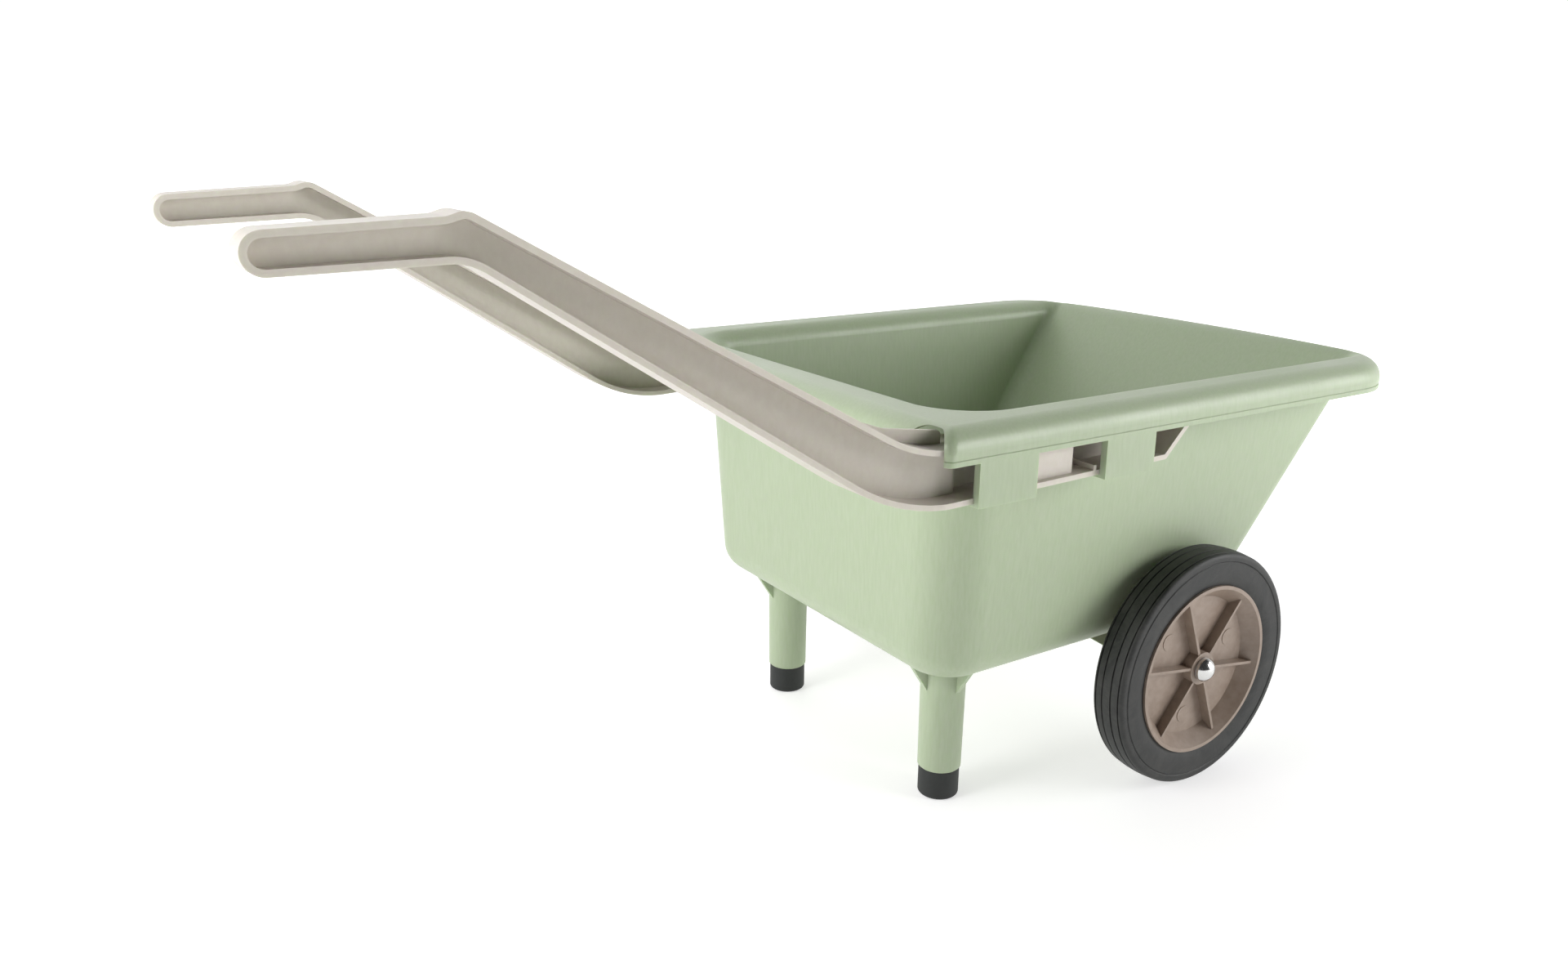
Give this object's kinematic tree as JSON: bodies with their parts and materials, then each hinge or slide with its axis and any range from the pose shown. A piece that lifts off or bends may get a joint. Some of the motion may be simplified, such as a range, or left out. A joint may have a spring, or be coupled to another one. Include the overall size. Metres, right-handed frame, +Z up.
{
  "type": "wheelbarrow",
  "caption": "Small garden barrow: tapered moulded tub with a rolled rim, splayed bent handles slotted under the rim, rear legs and dished spoked wheels.",
  "frame": {"origin": "on the ground under the middle of the whole barrow, standing on its wheels and feet", "axes": "+X towards the nose, where the wheels are; +Y to the user's left; +Z up"},
  "size_m": [0.7764, 0.383, 0.4083],
  "materials": {
    "tub_green": "pale sage green, satin, faintly streaked",
    "handle_taupe": "grey-brown satin",
    "hub_taupe": "grey-brown satin",
    "tyre_black": "matt charcoal",
    "foot_rubber": "matt black",
    "steel": "plain drawn rod",
    "cap_chrome": "bright plated"
  },
  "bodies": {
    "barrow": {"tub": "tub_green", "axle": "steel", "right_handle": "handle_taupe", "right_foot_cap": "foot_rubber", "right_inner_washer": "steel", "right_outer_washer": "steel", "right_axle_cap": "cap_chrome", "left_handle": "handle_taupe", "left_foot_cap": "foot_rubber", "left_inner_washer": "steel", "left_outer_washer": "steel", "left_axle_cap": "cap_chrome"},
    "right_wheel": {"right_wheel_hub": "hub_taupe", "right_tyre": "tyre_black"},
    "left_wheel": {"left_wheel_hub": "hub_taupe", "left_tyre": "tyre_black"}
  },
  "joints": [
    {"name": "right_wheel_spin", "type": "hinge", "parent": "barrow", "child": "right_wheel", "pos_m": [0.1955, -0.16895, 0.085], "axis": [0, 1, 0], "continuous": true},
    {"name": "left_wheel_spin", "type": "hinge", "parent": "barrow", "child": "left_wheel", "pos_m": [0.1955, 0.16895, 0.085], "axis": [0, 1, 0], "continuous": true}
  ]
}
